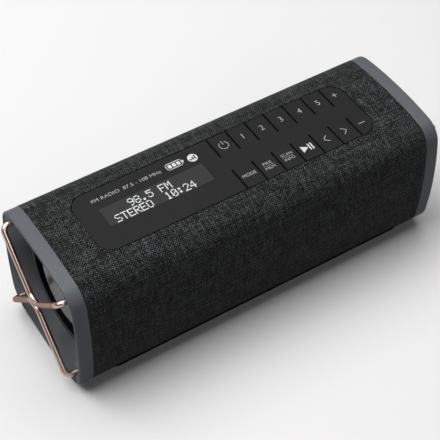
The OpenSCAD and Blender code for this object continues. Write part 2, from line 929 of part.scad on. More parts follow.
module driver_magnet(side) {
    gap_end = basket_h + magnet_h - 2 * flange_t;
    color("#4a4b4e")
        lift()
            turned_driver(side)
                polygon([
                    [0, basket_h - flange_t / 2], [pole_r, basket_h - flange_t / 2], [pole_r, gap_end],
                    [gap_r, gap_end], [gap_r, basket_h], [magnet_r, basket_h],
                    [magnet_r, basket_h + magnet_h], [0, basket_h + magnet_h]
                ]);
}

module driver_cone(side) {
    former_end = basket_h + magnet_h / 2;
    color("#202122")
        lift()
            turned_driver(side)
                polygon([
                    [former_r, former_end], [former_r + former_t, former_end],
                    [former_r + former_t, neck_w + paper_t], [cone_r, edge_w + paper_t],
                    [cone_r, edge_w], [former_r, neck_w]
                ]);
}

// A dome that closes the neck of the cone
module dust_cap(side) {
    slope = (neck_w - edge_w) / (cone_r - former_r);
    dome_r = (cap_r ^ 2 + cap_rise ^ 2) / (2 * cap_rise);
    dome_turn = asin(cap_r / dome_r);
    inner_r = cap_r - cap_t * sin(dome_turn);
    rest_w = edge_w + slope * (cone_r - inner_r) - cap_t * cos(dome_turn) - cap_gap;
    steps = [0 : 1 / plate_steps : 1];
    color("#2a2b2c")
        lift()
            turned_driver(side)
                polygon(concat(
                    [for (t = steps)
                        [dome_r * sin(t * dome_turn), rest_w - cap_rise + dome_r * (1 - cos(t * dome_turn))]],
                    [for (t = steps)
                        let (a = (1 - t) * dome_turn, r = dome_r - cap_t)
                            [r * sin(a), rest_w - cap_rise + dome_r - r * cos(a)]]));
}

module driver_surround(side) {
    roll = (driver_open_r - cone_r) / 2 - cap_gap;
    color("#131314")
        lift()
            turned_driver(side)
                translate([(driver_open_r + cone_r) / 2, edge_w])
                    intersection() {
                        difference() {
                            circle(r = roll);
                            circle(r = roll - cap_t);
                        }
                        translate([-roll, -roll])
                            square([2 * roll, roll + paper_t / 2]);
                    }
}

// Boards and battery

module main_board() {
    color("#1f5a3a")
        lift()
            difference() {
                along_y(board_y - board_t, board_y)
                    square([2 * pillar_x + frame_w, 2 * pillar_z + frame_w], center = true);
                for (p = PILLARS)
                    translate([p[0], board_y - board_t - cut, p[1]])
                        rotate([-90, 0, 0])
                            cylinder(d = screw_d, h = board_t + 2 * cut);
            }
}

module tuner_can() {
    can_l = 34;
    can_w = 22;
    can_h = 4;
    color("#a9adb1")
        lift()
            translate([-can_l / 2, board_y - board_t - can_h, -can_w / 2])
                cube([can_l, can_h, can_w]);
}

// A screw along Y whose head's seat is at y 0 and whose shank runs to -Y
module screw() {
    rotate([90, 0, 0])
        cylinder(d = screw_d, h = screw_l);
    rotate([-90, 0, 0])
        cylinder(d = screw_head_d, h = screw_head_h);
}

module board_screws() {
    color("#8d9094")
        lift()
            for (p = PILLARS)
                translate([p[0], board_y - board_t, p[1]])
                    rotate([0, 0, 180])
                        screw();
}

module battery_cells() {
    color("#3f6f8f")
        lift()
            for (side = [-1, 1])
                translate([-cell_l / 2, battery_y + side * cell_pitch / 2, cell_z])
                    rotate([0, 90, 0])
                        cylinder(d = cell_d, h = cell_l);
}

module battery_holder() {
    color("#17181a")
        lift()
            translate([0, battery_y, cell_z])
                difference() {
                    translate([-holder_l / 2, -holder_w / 2, -holder_h])
                        cube([holder_l, holder_w, holder_h]);
                    for (side = [-1, 1])
                        translate([-cell_l / 2, side * cell_pitch / 2, 0])
                            rotate([0, 90, 0])
                                cylinder(d = cell_d + 2 * ring_clear, h = cell_l);
                }
}

// Rear panel and sockets

module rear_panel() {
    color("#28292b")
        lift()
            difference() {
                along_y(rear_in, rear_y)
                    polygon(plate(rear_l, rear_h, rear_corner_r));
                translate([aerial_x, rear_y - turret_seat, aerial_z])
                    rotate([-90, 0, 0])
                        cylinder(r = turret_r + rear_clear, h = turret_seat + cut);
                translate([aerial_x, rear_in - cut, aerial_z])
                    rotate([-90, 0, 0])
                        cylinder(r = shaft_r + pivot_clear, h = rear_t + cut);
                translate([jack_x, rear_in - cut, socket_z])
                    rotate([-90, 0, 0])
                        cylinder(d = jack_nose_d + 2 * rear_clear, h = rear_t + 2 * cut);
                translate([charge_x, 0, socket_z])
                    along_y(rear_in - cut, rear_y + cut)
                        polygon(charge_outline(charge_wall + rear_clear));
                for (p = REAR_SCREWS)
                    translate([p[0], rear_y, p[1]])
                        rotate([90, 0, 0]) {
                            translate([0, 0, -cut])
                                cylinder(d = screw_d, h = rear_t + 2 * cut);
                            translate([0, 0, -cut])
                                cylinder(d = screw_head_d + 2 * ring_clear, h = screw_head_h + cut);
                        }
            }
}

module rear_screws() {
    color("#5a5c60")
        lift()
            for (p = REAR_SCREWS)
                translate([p[0], rear_y - screw_head_h, p[1]])
                    screw();
}

function charge_outline(grow) =
    plate(charge_w + 2 * grow, charge_h + 2 * grow, charge_h / 2 + grow - flat_left);

module charge_socket() {
    color("#9a9da1")
        lift()
            translate([charge_x, 0, socket_z])
                union() {
                    difference() {
                        along_y(board_y, rear_y)
                            polygon(charge_outline(charge_wall));
                        along_y(rear_y - charge_w, rear_y + cut)
                            polygon(charge_outline(0));
                    }
                    along_y(rear_y - charge_w - charge_wall, rear_y - charge_wall)
                        square([charge_w * 0.7, charge_h * 0.3], center = true);
                }
}

module audio_jack() {
    body_w = 1.4 * jack_nose_d;
    body_h = pillar_z - frame_w / 2 + socket_z;
    color("#0f0f10")
        lift()
            translate([jack_x, 0, socket_z])
                difference() {
                    union() {
                        along_y(board_y, rear_in)
                            square([body_w, 2 * min(body_h, jack_nose_d / 2 + jack_wall)], center = true);
                        translate([0, rear_in - cut, 0])
                            rotate([-90, 0, 0])
                                cylinder(d = jack_nose_d, h = rear_t + cut);
                    }
                    translate([0, rear_y - jack_l, 0])
                        rotate([-90, 0, 0])
                            cylinder(r = jack_r, h = jack_l + cut);
                }
}

// Aerial, drawn from its pin with the outer tube along -X

module at_pin() {
    lift()
        translate([aerial_x, aerial_y, aerial_z])
            children();
}

module rod(r, x0, x1) {
    translate([-x1, 0, 0])
        rotate([0, 90, 0])
            cylinder(r = r, h = x1 - x0);
}

module aerial_turret() {
    ear_in = aerial_r + ear_gap;
    ear_r = aerial_r + ear_gap;
    disc_top = turret_rise - aerial_rise;
    color("#2c2d30")
        at_pin()
            difference() {
                union() {
                    translate([0, -aerial_rise - turret_seat + 2 * pivot_clear, 0])
                        rotate([-90, 0, 0])
                            cylinder(r = turret_r, h = turret_seat + turret_rise - 2 * pivot_clear);
                    translate([0, -aerial_rise - rear_t - shaft_out, 0])
                        rotate([-90, 0, 0])
                            cylinder(r = shaft_r, h = rear_t + shaft_out);
                    for (side = [0, 1])
                        mirror([0, 0, side]) {
                            translate([-ear_r, disc_top - turret_rise / 2, ear_in])
                                cube([2 * ear_r, turret_rise / 2 - disc_top, ear_t]);
                            translate([0, 0, ear_in])
                                cylinder(r = ear_r, h = ear_t);
                        }
                }
                translate([0, 0, -turret_r])
                    cylinder(r = pin_r, h = 2 * turret_r);
            }
}

module aerial_pin() {
    pin_l = 2 * (aerial_r + ear_gap + ear_t);
    color("#b8babd")
        at_pin()
            translate([0, 0, -pin_l / 2])
                cylinder(r = pin_r, h = pin_l);
}

module aerial_tube() {
    color("#c3c5c8")
        at_pin()
            difference() {
                union() {
                    translate([0, 0, -aerial_r])
                        cylinder(r = aerial_r, h = 2 * aerial_r);
                    rod(aerial_r, 0, aerial_l);
                }
                rod(aerial_r - aerial_step + stage_clear, aerial_l - stage_l - stage_clear, aerial_l + cut);
                translate([0, 0, -aerial_l])
                    cylinder(r = pin_r + pivot_clear, h = 2 * aerial_l);
            }
}

// A hollow stage that shows a little of its end when pushed in
module aerial_stage(step) {
    x0 = aerial_l - stage_l + (step - 1) * stage_show;
    x1 = aerial_l + step * stage_show;
    r = aerial_r - step * aerial_step;
    color("#c3c5c8")
        at_pin()
            difference() {
                rod(r, x0, x1);
                rod(r - aerial_step + stage_clear, x0 + stage_show - stage_clear, x1 + cut);
            }
}

module aerial_stage_two() {
    aerial_stage(1);
}

module aerial_stage_three() {
    aerial_stage(2);
}

module aerial_tip() {
    x1 = aerial_l + 3 * stage_show;
    color("#c3c5c8")
        at_pin() {
            union() {
                rod(aerial_r - 3 * aerial_step, aerial_l - stage_l + 2 * stage_show, x1 + tip_l / 2);
                rod(aerial_r - stage_clear, x1, x1 + tip_l);
            }
        }
}

// Base

module base_pad() {
    color("#0d0d0e")
        lift()
            difference() {
                union() {
                    intersection() {
                        bar(-pad_l / 2, pad_l / 2, -pad_proud);
                        pad_space(0);
                    }
                    translate([-pad_l / 2, -plinth_w / 2, -axis_z])
                        cube([pad_l, plinth_w, plinth_h + corner_r / 2]);
                }
                bar(-tube_end, tube_end, fabric_t);
            }
}

chassis_tube();
fabric_sleeve();
end_cap_left();
end_cap_right();
wire_guard_left();
wire_guard_right();
radiator_ring_left();
radiator_ring_right();
radiator_surround_left();
radiator_surround_right();
radiator_disc_left();
radiator_disc_right();
control_tray();
control_panel();
display_window();
lcd_module();
key_board();
tact_switches();
driver_frame(-1);  // driver_frame_left
driver_frame(1);  // driver_frame_right
driver_magnet(-1);  // driver_magnet_left
driver_magnet(1);  // driver_magnet_right
driver_surround(-1);  // driver_surround_left
driver_surround(1);  // driver_surround_right
driver_cone(-1);  // driver_cone_left
driver_cone(1);  // driver_cone_right
dust_cap(-1);  // dust_cap_left
dust_cap(1);  // dust_cap_right
main_board();
tuner_can();
board_screws();
battery_cells();
battery_holder();
rear_panel();
rear_screws();
charge_socket();
audio_jack();
aerial_turret();
aerial_pin();
aerial_tube();
aerial_stage_two();
aerial_stage_three();
aerial_tip();
base_pad();
for (row = [0, 1], i = [0 : key_count - 1])
    key(row, i);
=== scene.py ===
"""Looks of a cloth-covered portable radio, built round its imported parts."""

import json
import math

import bmesh
import bpy
import numpy as np
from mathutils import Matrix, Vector


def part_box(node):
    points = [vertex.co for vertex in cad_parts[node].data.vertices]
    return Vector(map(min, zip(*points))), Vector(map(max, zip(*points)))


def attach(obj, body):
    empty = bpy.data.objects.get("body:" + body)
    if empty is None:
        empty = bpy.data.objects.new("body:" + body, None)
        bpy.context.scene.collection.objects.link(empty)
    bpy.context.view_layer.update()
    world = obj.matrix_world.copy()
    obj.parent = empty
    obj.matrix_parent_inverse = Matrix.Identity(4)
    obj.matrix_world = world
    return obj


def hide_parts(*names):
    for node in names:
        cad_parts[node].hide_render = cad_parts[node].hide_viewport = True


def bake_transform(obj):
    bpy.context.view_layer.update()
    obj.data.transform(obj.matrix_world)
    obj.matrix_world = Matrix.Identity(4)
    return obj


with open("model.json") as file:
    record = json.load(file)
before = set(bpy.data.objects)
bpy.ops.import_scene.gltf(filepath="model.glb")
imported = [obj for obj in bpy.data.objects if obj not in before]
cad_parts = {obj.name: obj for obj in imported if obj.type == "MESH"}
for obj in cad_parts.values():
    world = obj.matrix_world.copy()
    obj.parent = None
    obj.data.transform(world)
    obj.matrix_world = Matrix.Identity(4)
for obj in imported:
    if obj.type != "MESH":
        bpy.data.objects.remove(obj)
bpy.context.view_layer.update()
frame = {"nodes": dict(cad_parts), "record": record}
NODES = frame["nodes"]
MM = 0.001

# Body and end caps in millimetres, as in the part's source; the flare is a power
SIDE_R = 200.0
CORNER_R = 12.0
BAND_W = 8.0
RIM_ROUND = 1.0
RIM_LAND = 1.6
RIM_STEP = 0.4
DISH_DEPTH = 10.8
DISH_FLARE = 1.5
BEZEL_R = 30.3
BEZEL_FALL = 0.4
BEZEL_STEP = 0.3
OPENING_R = 28.3

# Radiators and wire guards in millimetres, as in the part's source
DISC_R = 21.6
DISC_T = 2.2
DISC_SET = 0.8
ROLL_GAP = 0.15
WIRE_D = 3.2
WIRE_YZ = 29.4
WIRE_BEND = 3.5
WIRE_STAND = 3.6
CROSS_GAP = 0.3

# Strip, keys, rear panel and pad in millimetres, as in the part's source
STRIP_END = 28.0
STRIP_W = 40.4
STRIP_R = 9.0
STRIP_GAP = 0.5
SPINE_W = 10.4
ROOT_GAP = 0.08
KEY_COUNT = 7
KEY_PITCH = 12.0
LAST_KEY_L = 11.0
KEY_MARK_Y = 12.4
REAR_END = 36.0
REAR_H = 40.0
REAR_R = 9.0
REAR_CLEAR = 0.25
PAD_END = 22.0
PAD_WRAP = 10.0
PAD_GAP = 0.4

# Places in millimetres, from the frame
cap_low, cap_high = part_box("end_cap_left")
HALF_L = -cap_low.x / MM
HALF_W = (cap_high.y - cap_low.y) / MM / 2
HALF_H = (cap_high.z - cap_low.z) / MM / 2
AXIS_Z = (cap_high.z + cap_low.z) / MM / 2
STRIP_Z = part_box("control_panel")[1].z / MM
WINDOW_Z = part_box("display_window")[1].z / MM

# Lengths and depths that follow from these; depths count from the rim inwards
TUBE_END = HALF_L - BAND_W
STRIP_L = 2 * (HALF_L - STRIP_END)
REAR_L = 2 * (HALF_L - REAR_END)
PAD_L = 2 * (HALF_L - PAD_END)
KEY_X0 = STRIP_L / 2 - LAST_KEY_L - (KEY_COUNT - 1) * KEY_PITCH
BEZEL_DEPTH = DISH_DEPTH - BEZEL_FALL
DISC_FACE = DISH_DEPTH + DISC_SET
DISC_BACK = DISC_FACE + DISC_T
ROLL_IN_R = DISC_R + ROLL_GAP


# Materials; the depths of their bumps are in metres

def srgb(r, g, b):
    """Linear colour from 0-255 screen values."""
    def linear(c):
        c /= 255
        return c / 12.92 if c < 0.04045 else ((c + 0.055) / 1.055) ** 2.4
    return (linear(r), linear(g), linear(b), 1.0)


def grey(level):
    return (level, level, level, 1.0)


def shade(colour, k):
    """A colour made darker or lighter."""
    return tuple(min(1.0, c * k) for c in colour[:3]) + (1.0,)


class Shader:
    """A principled material with a few helpers for its nodes."""

    def __init__(self, name, **values):
        self.mat = bpy.data.materials.new(name)
        self.mat.use_nodes = True
        self.tree = self.mat.node_tree
        self.bsdf = self.tree.nodes["Principled BSDF"]
        for key, value in values.items():
            self.bsdf.inputs[key.replace("_", " ")].default_value = value

    def put(self, socket, value):
        """Links a socket to another, or sets it to a constant."""
        if isinstance(value, bpy.types.NodeSocket):
            self.tree.links.new(value, socket)
        else:
            socket.default_value = value

    def set(self, name, value):
        self.put(self.bsdf.inputs[name], value)

    def node(self, kind, inputs, **settings):
        n = self.tree.nodes.new("ShaderNode" + kind)
        for key, value in settings.items():
            setattr(n, key, value)
        for key, value in inputs.items():
            self.put(n.inputs[key], value)
        return n

    def coords(self):
        return self.node("TexCoord", {}).outputs["Object"]

    def stretch(self, vector, scale):
        return self.node("Mapping", {"Vector": vector, "Scale": scale}).outputs[0]

    def noise(self, vector, scale, detail=2.0):
        return self.node("TexNoise", {"Vector": vector, "Scale": scale, "Detail": detail}).outputs["Fac"]

    def math(self, op, a, b=0.0, c=0.0):
        return self.node("Math", {0: a, 1: b, 2: c}, operation=op).outputs[0]

    def total(self, *parts):
        """Weighted sum of pairs (value, weight)."""
        out = 0.0
        for value, weight in parts:
            out = self.math("MULTIPLY_ADD", value, weight, out)
        return out

    def ramp(self, fac, *stops):
        n = self.node("ValToRGB", {"Fac": fac})
        elements = n.color_ramp.elements
        while len(elements) < len(stops):
            elements.new(0.5)
        for element, (place, colour) in zip(elements, stops):
            element.position = place
            element.color = colour
        return n.outputs["Color"]

    def drift(self, dark, light, scale, detail=2.0):
        """Base colour that drifts between two tones."""
        broad = self.noise(self.coords(), scale, detail)
        self.set("Base Color", self.ramp(broad, (0.3, dark), (0.7, light)))

    def gloss(self, fac, rough, spread):
        """Roughness that varies by spread about a middle value."""
        self.set("Roughness", self.math("MULTIPLY_ADD", fac, spread, rough - spread / 2))

    def bump(self, height, strength, depth):
        n = self.node("Bump", {"Strength": strength, "Distance": depth, "Height": height})
        self.set("Normal", n.outputs[0])


def moulded(name, colour, rough=0.5, grain=1500.0, depth=0.00003, mottle=0.10, **values):
    """Moulded plastic or rubber: fine spark-eroded grain, faint mottling and uneven gloss."""
    s = Shader(name, **values)
    s.drift(shade(colour, 1 - mottle), shade(colour, 1 + mottle), scale=45.0, detail=3.0)
    fine = s.noise(s.coords(), grain)
    s.gloss(fine, rough, spread=0.16)
    s.bump(fine, strength=0.5, depth=depth)
    return s.mat


def metal(name, colour, rough=0.2, brush=(1.0, 1.0, 1.0), scale=700.0, depth=0.000004, spread=0.12,
          **values):
    """Metal with drawing or brushing marks along the axes whose brush value is small."""
    s = Shader(name, Metallic=1.0, **values)
    s.drift(shade(colour, 0.9), shade(colour, 1.06), scale=60.0)
    lines = s.noise(s.stretch(s.coords(), brush), scale, detail=3.0)
    s.gloss(lines, rough, spread)
    s.bump(lines, strength=0.35, depth=depth)
    return s.mat


def cloth(name, yarn_size=0.77, fibre_size=0.3):
    """Heather plain weave: yarns of uneven tone that pass over and under, with lighter and darker fibres.

    The sizes are in millimetres, as is the weave attribute that gives each point its place on the cloth.
    """
    s = Shader(name, Roughness=0.95, Sheen_Weight=0.05, Sheen_Roughness=0.5, Specular_IOR_Level=0.05)
    at = s.node("Attribute", {}, attribute_name="weave").outputs["Vector"]
    yarn_step = 5.3  # how far apart two neighbouring yarns lie in the noise, so that they differ

    def counted(size):
        part = s.node("SeparateXYZ", {0: s.stretch(at, (1 / size, 1 / size, 1.0))})
        return part.outputs[0], part.outputs[1]

    def yarn_tone(across, along, run, layer):
        place = s.node("CombineXYZ", {
            0: s.math("MULTIPLY", s.math("FLOOR", across), yarn_step),
            1: s.math("MULTIPLY", along, run),
            2: layer})
        return s.noise(place.outputs[0], scale=1.0, detail=1.0)

    def wave(count):
        return s.math("SINE", s.math("MULTIPLY", count, math.pi))

    fine_u, fine_v = counted(fibre_size)
    cell = s.node("CombineXYZ", {0: s.math("FLOOR", fine_u), 1: s.math("FLOOR", fine_v)}).outputs[0]
    fibre = s.node("TexWhiteNoise", {"Vector": cell}, noise_dimensions="2D").outputs["Value"]
    u, v = counted(yarn_size)
    warp = yarn_tone(u, v, run=0.08, layer=0.0)
    weft = yarn_tone(v, u, run=0.05, layer=7.7)
    over = s.math("MULTIPLY", wave(u), wave(v))
    tone = s.total((fibre, 0.36), (warp, 0.34), (weft, 0.24), (over, 0.17))
    s.set("Base Color", s.ramp(
        tone,
        (0.25, srgb(3, 3, 3)),
        (0.45, srgb(10, 11, 11)),
        (0.57, srgb(27, 28, 28)),
        (0.72, srgb(68, 70, 71))))
    s.bump(s.math("ABSOLUTE", over), strength=0.5, depth=0.0001)
    return s.mat


def lit_dots(name):
    """The display's dots: pale, with a weak light of their own."""
    s = Shader(name, Roughness=0.5, Emission_Strength=0.35)
    s.drift(srgb(128, 130, 130), srgb(146, 148, 148), scale=160.0)
    s.set("Emission Color", srgb(214, 216, 216))
    return s.mat


def ink(name, colour):
    return moulded(name, colour, 0.6, grain=2500.0, depth=0.000004, mottle=0.05)


# One material for each of the record's slots
MATS = {
    "cloth": cloth("cloth"),
    "cap_grey": moulded("cap_grey", srgb(60, 62, 66), 0.46, Specular_IOR_Level=0.12),
    "copper_wire": metal(
        "copper_wire", srgb(205, 181, 172), 0.29, scale=5000.0, depth=0.000001, spread=0.06,
        Specular_Tint=(0.3, 0.25, 0.24, 1.0)),
    "radiator_grey": metal("radiator_grey", srgb(98, 98, 100), 0.22, spread=0.06),
    "black_rubber": moulded("black_rubber", srgb(5, 5, 5), 0.7, grain=900.0, Specular_IOR_Level=0.02),
    "shell_black": moulded("shell_black", srgb(12, 12, 13), 0.6, Specular_IOR_Level=0.2),
    "strip_plastic": moulded(
        "strip_plastic", srgb(20, 20, 21), 0.55, grain=2600.0, depth=0.00002, mottle=0.05,
        Specular_IOR_Level=0.06),
    "window_smoke": moulded(
        "window_smoke", srgb(31, 31, 32), 0.4, grain=2000.0, depth=0.000004, mottle=0.04,
        Specular_IOR_Level=0.07),
    "lcd_glass": moulded("lcd_glass", srgb(50, 58, 64), 0.2, grain=2000.0, depth=0.000004),
    "circuit_board": moulded("circuit_board", srgb(24, 84, 52), 0.4),
    "switch_black": moulded("switch_black", srgb(22, 22, 24), 0.35),
    "frame_steel": moulded("frame_steel", srgb(40, 41, 43), 0.4),
    "magnet_iron": metal("magnet_iron", srgb(90, 91, 94), 0.4),
    "cone_paper": moulded("cone_paper", srgb(30, 30, 31), 0.85, grain=500.0, depth=0.00008),
    "screw_steel": metal("screw_steel", srgb(120, 122, 126), 0.32),
    "tin_plate": metal("tin_plate", srgb(178, 180, 184), 0.28),
    "cell_wrap": moulded("cell_wrap", srgb(52, 102, 140), 0.3),
    "rear_plastic": moulded("rear_plastic", srgb(24, 25, 26), 0.5, grain=1800.0, Specular_IOR_Level=0.2),
    "aerial_chrome": metal("aerial_chrome", srgb(214, 216, 220), 0.12, brush=(0.02, 1.0, 1.0), spread=0.08),
}
SOLID_INK = ink("print_ink", srgb(144, 144, 143))
LINE_INK = ink("line_ink", srgb(124, 124, 123))
TRIM_GREY = moulded("trim_grey", srgb(34, 35, 37), 0.5, Specular_IOR_Level=0.2)
DISPLAY_DOTS = lit_dots("display_dots")

for part in frame["record"]["subparts"]:
    materials = NODES[part["node"]].data.materials
    materials.clear()
    materials.append(MATS[part["material_slot"]])


# Objects and meshes

def linked(name, data):
    """An object in the scene."""
    obj = bpy.data.objects.new(name, data)
    bpy.context.scene.collection.objects.link(obj)
    return obj


def solid(name, points, faces):
    """An object from points in millimetres, with its faces turned outwards."""
    mesh = bpy.data.meshes.new(name)
    mesh.from_pydata([tuple(c * MM for c in p) for p in points], [], faces)
    mesh.validate()
    bm = bmesh.new()
    bm.from_mesh(mesh)
    bmesh.ops.recalc_face_normals(bm, faces=bm.faces)
    bm.to_mesh(mesh)
    bm.free()
    return linked(name, mesh)


def smooth(mesh, angle):
    """Smooth shading, with edges sharp above an angle."""
    mesh.shade_smooth()
    mesh.set_sharp_from_angle(angle=math.radians(angle))


def piece(name, shape, mat, body="housing", angle=32.0):
    """A piece from (points, faces): flat without an angle, and riding on a body if one is named."""
    obj = solid(name, *shape)
    obj.data.materials.append(mat)
    if angle:
        smooth(obj.data, angle)
    if body:
        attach(obj, body)
    return obj


def evaluated_mesh(obj):
    """A mesh of an object with its modifiers or its lettering worked out."""
    bpy.context.view_layer.update()
    return bpy.data.meshes.new_from_object(obj.evaluated_get(bpy.context.evaluated_depsgraph_get()))


def loft(rings, joined=True):
    """Points and quads between rings of equal length; joined runs from the last ring to the first."""
    n, m = len(rings[0]), len(rings)
    points = [p for ring in rings for p in ring]
    faces = []
    for j in range(m if joined else m - 1):
        here, there = j * n, (j + 1) % m * n
        faces += [(here + k, here + (k + 1) % n, there + (k + 1) % n, there + k) for k in range(n)]
    return points, faces


def filled(rings):
    """A loft whose first and last rings are filled."""
    points, faces = loft(rings, joined=False)
    n = len(rings[0])
    faces += [tuple(range(n))[::-1], tuple(len(points) - n + k for k in range(n))]
    return points, faces


def merged(shapes):
    """Several (points, faces) as one."""
    points, faces = [], []
    for more_points, more_faces in shapes:
        faces += [tuple(i + len(points) for i in face) for face in more_faces]
        points += more_points
    return points, faces


def section(inset, side_n=14, edge_n=14):
    """The body's outline as points (y, z) about its axis, moved in by inset.

    Four shallow arcs meet in round edges. It starts at the rear and runs over the top.
    """
    u, v = SIDE_R - HALF_W, SIDE_R - HALF_H
    ratio, shift = u / v, (u * u - v * v) / (2 * v)
    a = 1 + ratio ** 2
    b = 2 * (u + ratio * shift)
    c = u * u + shift * shift - (SIDE_R - CORNER_R) ** 2
    edge_y = (math.sqrt(b * b - 4 * a * c) - b) / (2 * a)
    edge_z = ratio * edge_y + shift
    side_turn = math.atan2(edge_z, edge_y + u)
    top_turn = math.atan2(edge_y, edge_z + v)
    r, q = SIDE_R - inset, CORNER_R - inset
    quarter = [(r * math.cos(t) - u, r * math.sin(t))
               for t in np.linspace(0, side_turn, side_n, endpoint=False)]
    quarter += [(edge_y + q * math.cos(t), edge_z + q * math.sin(t))
                for t in np.linspace(side_turn, math.pi / 2 - top_turn, edge_n + 1)]
    quarter += [(r * math.sin(t), r * math.cos(t) - v)
                for t in np.linspace(top_turn, 0, side_n + 1)[1:]]
    ring = quarter[:-1]
    ring += [(-y, z) for y, z in quarter[:0:-1]]
    ring += [(-y, -z) for y, z in quarter[:-1]]
    ring += [(y, -z) for y, z in quarter[:0:-1]]
    return ring


def rounded(length, width, radius, n=10):
    """A plate's outline with round corners."""
    out = []
    for c, (sx, sy) in enumerate(((1, 1), (-1, 1), (-1, -1), (1, -1))):
        for t in math.pi / 2 * (c + np.arange(n + 1) / n):
            out.append((sx * (length / 2 - radius) + radius * math.cos(t),
                        sy * (width / 2 - radius) + radius * math.sin(t)))
    return out


def on_end(end, r, depth, turn):
    """A point at a radius from the tube's axis and a depth behind the rim of one end."""
    return (end * (HALF_L - depth), r * math.cos(turn), AXIS_Z + r * math.sin(turn))


def lathe(outline, end, segments=128):
    """A closed outline of (radius, depth) turned about the tube's axis."""
    turns = np.linspace(0, 2 * math.pi, segments, endpoint=False)
    return loft([[on_end(end, r, depth, t) for t in turns] for r, depth in outline])


def tube(path, radius, sides=28):
    """A closed round tube along a path."""
    path = [Vector(p) for p in path]
    rings = []
    normal = None
    for i, p in enumerate(path):
        ahead = (path[min(i + 1, len(path) - 1)] - path[max(i - 1, 0)]).normalized()
        if normal is None:
            normal = ahead.orthogonal().normalized()
        normal = (normal - ahead * normal.dot(ahead)).normalized()
        side = ahead.cross(normal)
        rings.append([p + radius * (normal * math.cos(a) + side * math.sin(a))
                      for a in np.linspace(0, 2 * math.pi, sides, endpoint=False)])
    return filled(rings)


def ball(middle, half):
    """An egg-shaped bead with three half lengths."""
    bm = bmesh.new()
    bmesh.ops.create_icosphere(bm, subdivisions=3, radius=1.0)
    bm.verts.index_update()
    points = [Vector(a * b for a, b in zip(v.co, half)) + middle for v in bm.verts]
    faces = [tuple(v.index for v in f.verts) for f in bm.faces]
    bm.free()
    return points, faces


# End caps, in millimetres

BAND_EASE = 0.25
RIM_POINTS = 7
LAND_EASE = ((0.35, 0.0), (0.1, 0.08))  # before the land's end, depth
DISH_RINGS = 30
EDGE_EASE = 0.2
EDGE_SINK = 0.03
OPENING_WALL = 1.5
OPENING_LEDGE = 2.0
CAP_WALL = 3.6
CAP_SKIRT = 4.0

# Trim ring: steps from its inner edge and the dish, and from its outer edge and the bezel
TRIM_IN = 0.1
TRIM_OUT = 0.25
TRIM_INNER = ((0.0, 0.9), (0.0, -0.1), (0.2, -0.23))
TRIM_OUTER = ((-0.12, -0.18), (0.0, -0.08), (0.0, 0.1))


def cap_ring(end, inset, depth, roundness=0.0, radius=0.0):
    """The body's outline at a depth behind the rim, drawn towards a circle by its roundness."""
    out = []
    for y, z in section(inset):
        k = 1 - roundness + radius / math.hypot(y, z) * roundness
        out.append((end * (HALF_L - depth), y * k, AXIS_Z + z * k))
    return out


def end_cap(side, end):
    """A closed shell: band, round rim, land, flared dish, bezel, opening and back."""
    outer = [(BAND_EASE, BAND_W), (0.0, BAND_W - BAND_EASE), (0.0, RIM_ROUND)]
    outer += [(RIM_ROUND * (1 - math.cos(a)), RIM_ROUND * (1 - math.sin(a)))
              for a in np.linspace(0, math.pi / 2, RIM_POINTS)[1:]]
    outer += [(RIM_LAND - before, depth) for before, depth in LAND_EASE]
    rings = [cap_ring(end, inset, depth) for inset, depth in outer]
    drop = BEZEL_DEPTH - BEZEL_STEP - RIM_STEP
    for t in np.linspace(0, 1, DISH_RINGS):
        rings.append(cap_ring(end, RIM_LAND, RIM_STEP + drop * t ** DISH_FLARE, t, BEZEL_R))
    opening = [
        (BEZEL_R, BEZEL_DEPTH),
        (OPENING_R + EDGE_EASE, DISH_DEPTH - EDGE_SINK),
        (OPENING_R, DISH_DEPTH + EDGE_EASE),
        (OPENING_R, DISH_DEPTH + OPENING_WALL),
        (OPENING_R + OPENING_LEDGE, DISH_DEPTH + OPENING_WALL),
    ]
    rings += [cap_ring(end, RIM_LAND, depth, 1.0, r) for r, depth in opening]
    rings += [cap_ring(end, CAP_WALL, depth) for depth in (BAND_W + CAP_SKIRT, BAND_W)]
    cap = piece("dished_cap_" + side, loft(rings), MATS["cap_grey"], angle=28.0)
    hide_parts("end_cap_" + side)


def opening_trim(side, end):
    low, high = OPENING_R - TRIM_IN, BEZEL_R - TRIM_OUT
    outline = [(low + out, DISH_DEPTH + depth) for out, depth in TRIM_INNER]
    outline += [(high + out, BEZEL_DEPTH + depth) for out, depth in TRIM_OUTER]
    outline.append((OPENING_R + TRIM_IN, DISH_DEPTH))
    piece("opening_trim_" + side, lathe(outline, end), TRIM_GREY, angle=50.0)


# Wire guards, in millimetres

WIRE_END = 7.0
WIRE_STRAIGHT = 2.0
CROSS_BEND = 8.0
BEAD_HALF = (1.1, 3.4, 1.2)
BEND_POINTS = 13
ARM_POINTS = 20
CROSS_POINTS = 14


